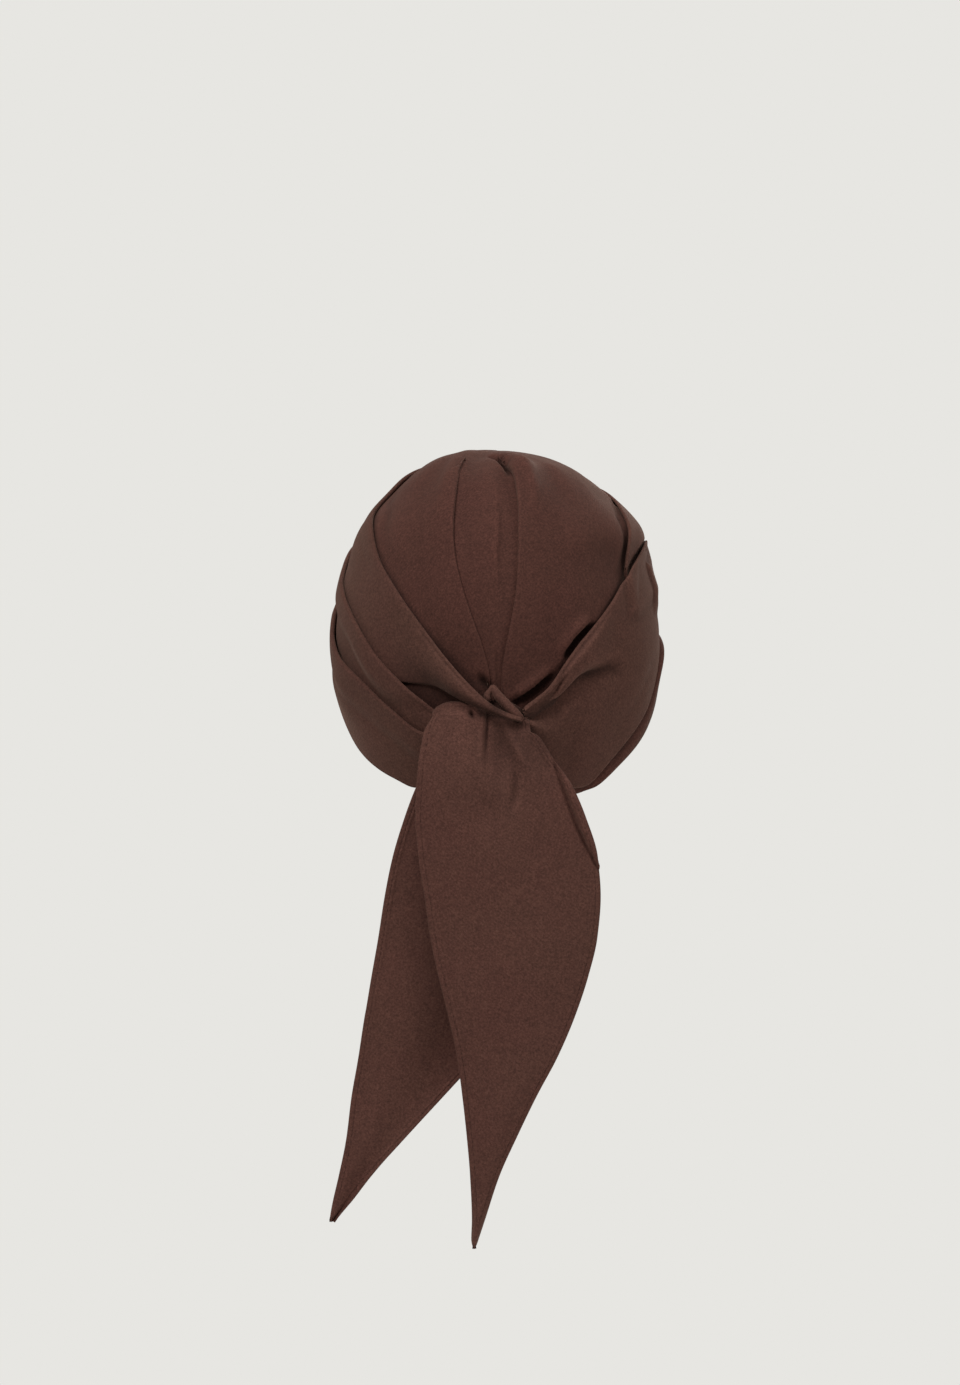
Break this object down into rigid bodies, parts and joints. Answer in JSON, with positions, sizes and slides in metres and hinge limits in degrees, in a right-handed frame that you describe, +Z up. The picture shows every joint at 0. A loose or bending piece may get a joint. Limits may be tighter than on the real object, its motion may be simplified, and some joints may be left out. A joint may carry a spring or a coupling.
{
  "type": "bandana cap",
  "caption": "Soft cloth head cap with a pleated wrap round its rim, tied in a knot at the back with two long pointed tails.",
  "frame": {"origin": "inside of the crown at its top, where the cap sits on a head", "axes": "+Z up, +Y to the cap's back, where the knot and the tails are, -Y to its front, +X to the wearer's left"},
  "size_m": [0.1743, 0.2173, 0.4047],
  "materials": {
    "crown_cloth": "matte dark brown cloth",
    "pleat_cloth": "matte dark brown cloth",
    "tail_cloth": "matte dark brown cloth with a stitched hem"
  },
  "bodies": {
    "root": {"crown": "crown_cloth", "upper_pleat": "pleat_cloth", "middle_pleat": "pleat_cloth", "lower_pleat": "pleat_cloth", "knot": "pleat_cloth", "front_tail": "tail_cloth", "back_tail": "tail_cloth"}
  },
  "joints": []
}
